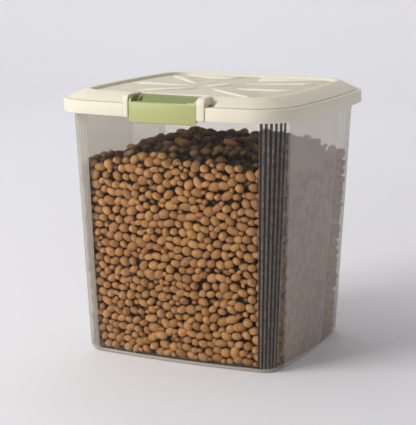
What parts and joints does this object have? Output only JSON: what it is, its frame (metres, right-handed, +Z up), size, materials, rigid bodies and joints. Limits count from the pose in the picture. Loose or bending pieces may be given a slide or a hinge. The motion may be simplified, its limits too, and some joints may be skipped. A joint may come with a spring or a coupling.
{
  "type": "pet food bin",
  "caption": "Clear tapered food bin with fluted corners, a clip-on collar, a hinged flip lid with a seal and a rocker latch with a finger scoop.",
  "frame": {"origin": "on the floor, under the middle of the bin's bounding box", "axes": "+Z up, -Y towards the front with the latch, +X to the right of a person facing the latch"},
  "size_m": [0.2816, 0.2748, 0.2934],
  "materials": {
    "clear_plastic": "clear, glossy",
    "cream_plastic": "satin",
    "panel_plastic": "satin with raised gloss pads",
    "liner_plastic": "satin",
    "green_plastic": "satin",
    "silicone": "matte, translucent",
    "steel": "plain"
  },
  "bodies": {
    "tub": {"tub": "clear_plastic"},
    "collar": {"collar_ring": "cream_plastic", "collar_gasket": "silicone", "hinge_pin_left": "steel", "hinge_pin_right": "steel"},
    "lid": {"lid_shell": "cream_plastic", "lid_top_panel": "panel_plastic", "lid_liner": "liner_plastic", "lid_seal": "silicone", "latch_pin": "steel", "liner_screw_1": "steel", "liner_screw_2": "steel", "liner_screw_3": "steel", "liner_screw_4": "steel", "liner_screw_5": "steel", "liner_screw_6": "steel"},
    "latch": {"latch_lever": "green_plastic"}
  },
  "joints": [
    {"name": "collar_lift", "type": "slide", "parent": "tub", "child": "collar", "axis": [0, 0, 1], "range_m": [0, 0.06]},
    {"name": "lid_hinge", "type": "hinge", "parent": "collar", "child": "lid", "pos_m": [0, 0.1339, 0.28805], "axis": [-1, 0, 0], "range_deg": [0, 110]},
    {"name": "latch_rock", "type": "hinge", "parent": "lid", "child": "latch", "pos_m": [0.0019, -0.1303, 0.2795], "axis": [-1, 0, 0], "range_deg": [0, 10]}
  ]
}
